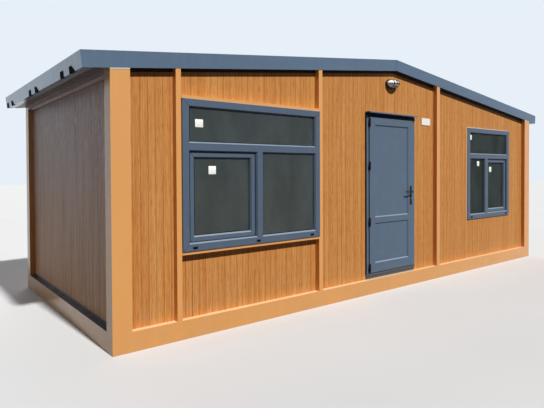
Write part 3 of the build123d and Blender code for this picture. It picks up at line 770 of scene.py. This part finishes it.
def dress_door():
    """Everything small on the door: lock edge, cylinder, screws, seals, weld lines, and black strips of
    painted shadow at the head and left side.
    """
    leaf_low, leaf_high = box("door_leaf")
    frame_low, frame_high = box("door_frame")
    lock_low, lock_high = box("door_lock_cylinder")
    lever_z = sum(v.z for v in box("door_levers")) / 2
    lock = (lock_low + lock_high) / 2
    edge_y = (leaf_low.y + leaf_high.y) / 2
    strike_out = 0.008

    def edge_part(bm, across, half_depth, upright, soften):
        """A flat part beside the leaf's lock edge; across is measured outwards from that edge."""
        slab(bm, (leaf_high.x + across[0], edge_y - half_depth, upright[0]),
             (leaf_high.x + across[1], edge_y + half_depth, upright[1]), soften)

    def faceplate(bm):
        edge_part(bm, across=(-0.001, 0.0015), half_depth=0.010,
                  upright=(lever_z - 0.16, lever_z + 0.09), soften=0.0006)

    def bolts(bm):
        edge_part(bm, across=(0, 0.0055), half_depth=0.006,
                  upright=(lever_z - 0.014, lever_z + 0.016), soften=0.0015)
        edge_part(bm, across=(0, 0.0025), half_depth=0.0055,
                  upright=(lock.z - 0.02, lock.z + 0.02), soften=0.0006)

    def strike(bm):
        edge_part(bm, across=(strike_out - 0.0012, strike_out + 0.001), half_depth=0.012,
                  upright=(lever_z - 0.14, lever_z + 0.06), soften=0.0005)

    def plug(bm):
        disc = [(0, 0), (0.0068, 0), (0.0068, 0.0004), (0.006, 0.0008), (0, 0.0008)]
        for place in (facing_front(lock.x, lock_low.y, lock.z), facing_back(lock.x, lock_high.y, lock.z)):
            turned(bm, place, disc, sides=20)

    # A black slab on each face of the cylinder: painted shade inside the keyhole
    def keyhole(bm):
        half_width, half_height, proud = 0.0008, 0.0042, 0.0011
        for y0, y1 in ((lock_low.y - proud, lock_low.y), (lock_high.y, lock_high.y + proud)):
            slab(bm, (lock.x - half_width, y0, lock.z - half_height),
                 (lock.x + half_width, y1, lock.z + half_height), soften=0.0002)

    def plate_screws(bm):
        inset = 0.013
        low, high = box("door_handle_plates")
        for z in (low.z + inset, high.z - inset):
            turned(bm, facing_front(lock.x, low.y, z), SCREW)
            turned(bm, facing_back(lock.x, high.y, z), SCREW)

    def seal(bm):
        gap, width, depth, behind_leaf = 0.004, 0.01, 0.0035, 0.0048
        stop = leaf_high.y + behind_leaf
        x, z = (shrink(span, -gap) for span in ((leaf_low.x, leaf_high.x), (leaf_low.z, leaf_high.z)))
        inner_x, inner_z = shrink(x, width), shrink(z, width)
        hoop(bm, [(x, z, stop), (x, z, stop - depth), (inner_x, inner_z, stop - depth),
                  (inner_x, inner_z, stop)])

    def cover_mitres(bm):
        cover_flat = 0.085
        mitre_lines(bm, leaf_low, leaf_high, MITRE_START, cover_flat)

    # A black strip across the frame's head under the drip: painted shadow of the drip
    def painted_head_shadow(bm):
        side, gap, proud, sunk = 0.001, 0.004, 0.0025, 0.001
        drip = box("door_drip_profile")[0].z
        slab(bm, (frame_low.x + side, frame_low.y - proud, leaf_high.z + gap),
             (frame_high.x - side, frame_low.y + sunk, drip), soften=0.001)

    # A black strip down the frame's left edge: painted shade on the frame's side face and its joint with
    # the wall
    def painted_side_shadow(bm):
        out, over, proud, below = 0.0035, 0.009, 0.002, 0.012
        wall_face = box("front_wall_bay_4")[0].y
        slab(bm, (frame_low.x - out, frame_low.y - proud, frame_low.z),
             (frame_low.x + over, wall_face, frame_high.z - below), soften=0.001)

    piece("door_painted_head_shadow", painted_head_shadow, rubber)
    piece("door_painted_side_shadow", painted_side_shadow, rubber)
    piece("door_lock_faceplate", faceplate, satin_metal, "door")
    piece("door_bolts", bolts, satin_metal, "door")
    piece("door_strike_plate", strike, satin_metal)
    piece("door_lock_plug", plug, lock_metal, "door")
    piece("door_keyhole", keyhole, rubber, "door")
    piece("door_plate_screws", plate_screws, black_metal, "door")
    piece("door_frame_seal", seal, rubber)
    piece("door_leaf_mitre_lines", cover_mitres, rubber, "door")


def hinge_caps():
    """A domed cap on the free end of each knuckle."""
    radius, sides = 0.009, 20
    cap = [(0, 0), (radius, 0), (radius, 0.0015), (radius * 0.8, 0.0036), (radius * 0.4, 0.0048),
           (0, 0.0052)]

    def lower(bm):
        for low, high in islands("door_hinges_frame_side"):
            place = Matrix.Translation((high.x - radius, low.y + radius, low.z))
            turned(bm, place @ Matrix.Rotation(pi, 4, "X"), cap, sides)

    def upper(bm):
        for low, high in islands("door_hinges_leaf_side"):
            turned(bm, Matrix.Translation((low.x + radius, low.y + radius, high.z)), cap, sides)

    piece("hinge_caps_lower", lower, black_metal)
    piece("hinge_caps_upper", upper, black_metal, "door")


def threshold_ribs():
    """Low ribs along the top of the threshold."""
    low, high = box("door_threshold")
    count, first, pitch, width, rise, sunk, margin = 6, 0.012, 0.0065, 0.003, 0.0014, 0.001, 0.05

    def ribs(bm):
        for i in range(count):
            y = low.y + first + i * pitch
            slab(bm, (low.x + margin, y, high.z - sunk), (high.x - margin, y + width, high.z + rise),
                 soften=0.0006)

    piece("threshold_ribs", ribs, sill_metal)


# Lamp and plate

def lamp_dome():
    """The lamp's pressed glass: an oval dome stepped by rings, in place of the plain solid."""
    low, high = box("lamp_glass")
    rim = box("lamp_housing")[0].y
    middle = (low + high) / 2
    half_x, half_z, rise = (high.x - low.x) / 2, (high.z - low.z) / 2, 0.072
    rings, sides, step, smooth_rings = 36, 72, 0.0013, 3

    def oval(bm, reach_x, reach_z, y):
        turns = (2 * pi * i / sides for i in range(sides))
        return [bm.verts.new((middle.x + reach_x * cos(turn), y, middle.z + reach_z * sin(turn)))
                for turn in turns]

    def fill(bm):
        rows = [oval(bm, half_x, half_z, high.y)]
        for ring in range(rings):
            angle = pi / 2 * ring / rings
            stepped = smooth_rings <= ring < rings - smooth_rings
            ripple = step * sin(ring * pi * 0.8) if stepped else 0
            share = cos(angle)
            rows.append(oval(bm, (half_x + ripple) * share, (half_z + ripple) * share,
                             rim - (rise + ripple) * sin(angle)))
        for a, b in zip(rows, rows[1:]):
            for i in range(sides):
                bm.faces.new((a[i - 1], a[i], b[i], b[i - 1]))
        bm.faces.new(rows[0])
        bm.faces.new(rows[-1])

    made = piece("lamp_dome", fill, lens, crease=60)
    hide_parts("lamp_glass")


def plate_screws():
    """A screw in each corner of the blank plate."""
    low, high = box("blank_plate")
    inset = 0.013

    def screws(bm):
        for x in (low.x + inset, high.x - inset):
            for z in (low.z + inset, high.z - inset):
                turned(bm, facing_front(x, low.y, z), SCREW)

    piece("blank_plate_screws", screws, zinc)


# Roof

def on_slope(u, y, w, right=False):
    """A point on a roof slope: u up from the eave, y into the depth, w out from the underside."""
    x = -OVERHANG + u * cos(PITCH) - w * sin(PITCH)
    z = EAVE_HEIGHT - OVERHANG * tan(PITCH) + u * sin(PITCH) + w * cos(PITCH)
    return at(LENGTH - x if right else x, y, z)


def roof_screws():
    """Hexagon screws with washers along the ribs of both slopes."""
    washer = [(0, 0), (0.0095, 0), (0.0095, 0.001), (0.0075, 0.0022), (0, 0.0022)]
    head = [(0, 0.002), (0.0052, 0.002), (0.0052, 0.0065), (0.0045, 0.0072), (0, 0.0072)]
    row_count, eave_row, first_row, ridge_gap = 7, 0.035, 0.09, 0.07
    reach = SLOPE_LENGTH - first_row - ridge_gap
    rows = [first_row + row * reach / (row_count - 1) for row in range(row_count)]
    rows[0] = eave_row

    def lift(rib, row):
        """Thickness of the folded sheet that a screw goes through before it meets the rib."""
        if row == row_count - 1:
            return RIDGE_CAP_SHEET
        return SHEET if row == 0 or rib in (0, RIB_COUNT - 1) else 0

    for side, right in (("left", False), ("right", True)):
        tilt = Matrix.Rotation(PITCH if right else -PITCH, 4, "Y")

        def fill(bm):
            for rib in range(RIB_COUNT):
                y = RIB_EDGE + rib * (DEPTH - 2 * RIB_EDGE) / (RIB_COUNT - 1)
                for row, u in enumerate(rows):
                    foot = on_slope(u, y, ROOF_HEIGHT + lift(rib, row), right)
                    place = Matrix.Translation(foot) @ tilt
                    turned(bm, place, washer, sides=10)
                    turned(bm, place, head, sides=6)

        piece(f"roof_screws_{side}", fill, zinc)


def notch_shadow_fills():
    """Black fill in each notch of an eave fascia, standing a little out of it: painted shadow of the
    hollow behind.
    """
    bulge_out, depth, over_top = 0.002, 0.02, 0.004
    low, high = -SHEET, NOTCH_TOP + over_top
    for side, right in (("left", False), ("right", True)):

        def filler(bm, start, way, notch, bulge):
            """One notch from its tab, with y rising where way is 1 and falling where it is -1."""
            foot, top = (start + way * (reach + more) for reach, more in zip(notch, bulge))
            outline = [(start, low), (foot, low), (top, high), (start, high)]
            prism(bm, [on_slope(-SHEET - bulge_out, y, w, right) for y, w in outline],
                  [on_slope(depth, y, w, right) for y, w in outline])

        def fill(bm):
            for i in range(NOTCH_COUNT):
                tab = NOTCH_FIRST + i * NOTCH_PITCH
                filler(bm, tab, -1, WIDE_NOTCH, WIDE_SHADOW_FILL)
                filler(bm, tab + TAB_WIDTH, 1, SLIM_NOTCH, SLIM_SHADOW_FILL)

        piece(f"notch_shadow_fills_{side}", fill, notch_shadow_paint)


def fascia_seams():
    """The lapped joint of the verge fascias at the ridge."""
    proud, width = 0.0009, 0.0014
    near, far, low, high = SLOPE_LENGTH - width, SLOPE_LENGTH, -SHEET, ROOF_HEIGHT + SHEET
    outline = [(near, low), (far, low), (far, high), (near, high)]

    def fill(bm):
        for y, out in ((-SHEET, -proud), (DEPTH + SHEET, proud)):
            prism(bm, [on_slope(u, y, w) for u, w in outline],
                  [on_slope(u, y + out, w) for u, w in outline])

    piece("fascia_seams", fill, rubber)


def post_top_plates():
    """A thin pale strip across the face of each corner post, just under the roof."""
    proud, top, foot = 0.0025, 0.0035, 0.013

    def fill(bm):
        for y, out in ((0, -proud), (DEPTH, proud)):
            for x0, x1 in ((0, CORNER_WIDTH), (LENGTH - CORNER_WIDTH, LENGTH)):
                outline = [(x0, under_roof(x0) - foot), (x1, under_roof(x1) - foot),
                           (x1, under_roof(x1) - top), (x0, under_roof(x0) - top)]
                prism(bm, [at(x, y, z) for x, z in outline], [at(x, y + out, z) for x, z in outline])

    piece("post_top_plates", fill, silicone)


# Studio: plain pale floor, key light from high in front, lesser lights from the left and the back

FLOOR_SIZE, FLOOR_GAP = 120, 0.001

# Strength, breadth in degrees, colour, and the direction in which the light stands
LIGHTS = {
    "key": (4.2, 2.5, (1.0, 0.97, 0.93), (0.024, -0.682, 0.731)),
    "left": (0.3, 20, (0.82, 0.91, 1.0), (-1.0, 0.36, 0.3)),
    "back": (1.3, 50, (1.0, 0.98, 0.95), (0.3, 1.0, 0.6)),
}
LIGHT_DISTANCE = 12

# Colour and strength of the surroundings, as they light the house and as the eye sees them
FILL_LIGHT = ((0.74, 0.86, 1.0, 1), 0.06)
SEEN_BACKGROUND = ((0.8, 0.87, 0.94, 1), 1.0)


def studio_floor():
    """A floor that looks pale and sends little light back up to the house."""
    pale, dim = colour(214, 216, 219), colour(62, 66, 74)
    s = Shader("studio_floor", roughness=0.9, Specular_IOR_Level=0.1)
    clouded = s.brighten(pale, s.span(s.noise((0.6, 0.6, 0.6)), 0.3, 0.7, 0.985, 1.01))
    s.paint(s.mix(s.seen_by_eye(), dim, clouded))
    bpy.ops.mesh.primitive_plane_add(size=FLOOR_SIZE, location=(0, 0, -FLOOR_GAP))
    floor = bpy.context.object
    floor.name = "studio_floor"
    floor.data.materials.append(s.material)


def lights():
    """Three suns, each turned so that it shines from its direction to the middle of the house."""
    for name, (energy, breadth, tint, towards) in LIGHTS.items():
        light = bpy.data.lights.new(name, "SUN")
        light.energy, light.angle, light.color = energy, radians(breadth), tint
        lamp = bpy.data.objects.new(name, light)
        lamp.rotation_euler = Vector(towards).to_track_quat("Z", "Y").to_euler()
        lamp.location = Vector(towards) * LIGHT_DISTANCE
        scene.collection.objects.link(lamp)


def surroundings():
    """Weak light from all sides, and a brighter background for camera, mirror and glass rays."""
    world = bpy.data.worlds.new("surroundings")
    scene.world = world
    world.use_nodes = True
    tree = world.node_tree
    fill, seen = tree.nodes["Background"], tree.nodes.new("ShaderNodeBackground")
    for background, (tint, strength) in ((fill, FILL_LIGHT), (seen, SEEN_BACKGROUND)):
        background.inputs["Color"].default_value = tint
        background.inputs["Strength"].default_value = strength
    path = tree.nodes.new("ShaderNodeLightPath")
    last = path.outputs["Is Camera Ray"]
    for other in ("Is Glossy Ray", "Is Transmission Ray"):
        either = tree.nodes.new("ShaderNodeMath")
        either.operation = "MAXIMUM"
        tree.links.new(last, either.inputs[0])
        tree.links.new(path.outputs[other], either.inputs[1])
        last = either.outputs[0]
    blend = tree.nodes.new("ShaderNodeMixShader")
    for source, socket in zip((last, fill.outputs[0], seen.outputs[0]), blend.inputs):
        tree.links.new(source, socket)
    tree.links.new(blend.outputs[0], tree.nodes["World Output"].inputs["Surface"])


# Camera, solved from the photograph's edges: place in metres, angles in radians, lens in millimetres

EYE = (-5.2101, -5.5616, 1.5459)
TURN, TILT, ROLL = -0.6665, -0.0168, -0.0045
SENSOR_WIDTH, LENS, SHIFT_UP = 36, 32.108, -0.046
SIGHT_LIMIT = 200


def camera():
    """The photograph's viewpoint, with colours shown as they are, without a film-like curve."""
    data = bpy.data.cameras.new("camera")
    data.sensor_width, data.lens, data.shift_y = SENSOR_WIDTH, LENS, SHIFT_UP
    data.clip_end = SIGHT_LIMIT
    eye = bpy.data.objects.new("camera", data)
    eye.matrix_world = (Matrix.Translation(EYE)
                        @ Matrix.Rotation(TURN, 4, "Z")
                        @ Matrix.Rotation(pi / 2 + TILT, 4, "X")
                        @ Matrix.Rotation(ROLL, 4, "Z"))
    scene.collection.objects.link(eye)
    scene.camera = eye
    scene.view_settings.view_transform = "Standard"


dress_nodes()
dress_window("large")
dress_window("small")
window_sealant()
dress_door()
hinge_caps()
threshold_ribs()
lamp_dome()
plate_screws()
roof_screws()
notch_shadow_fills()
fascia_seams()
post_top_plates()
studio_floor()
lights()
surroundings()
camera()
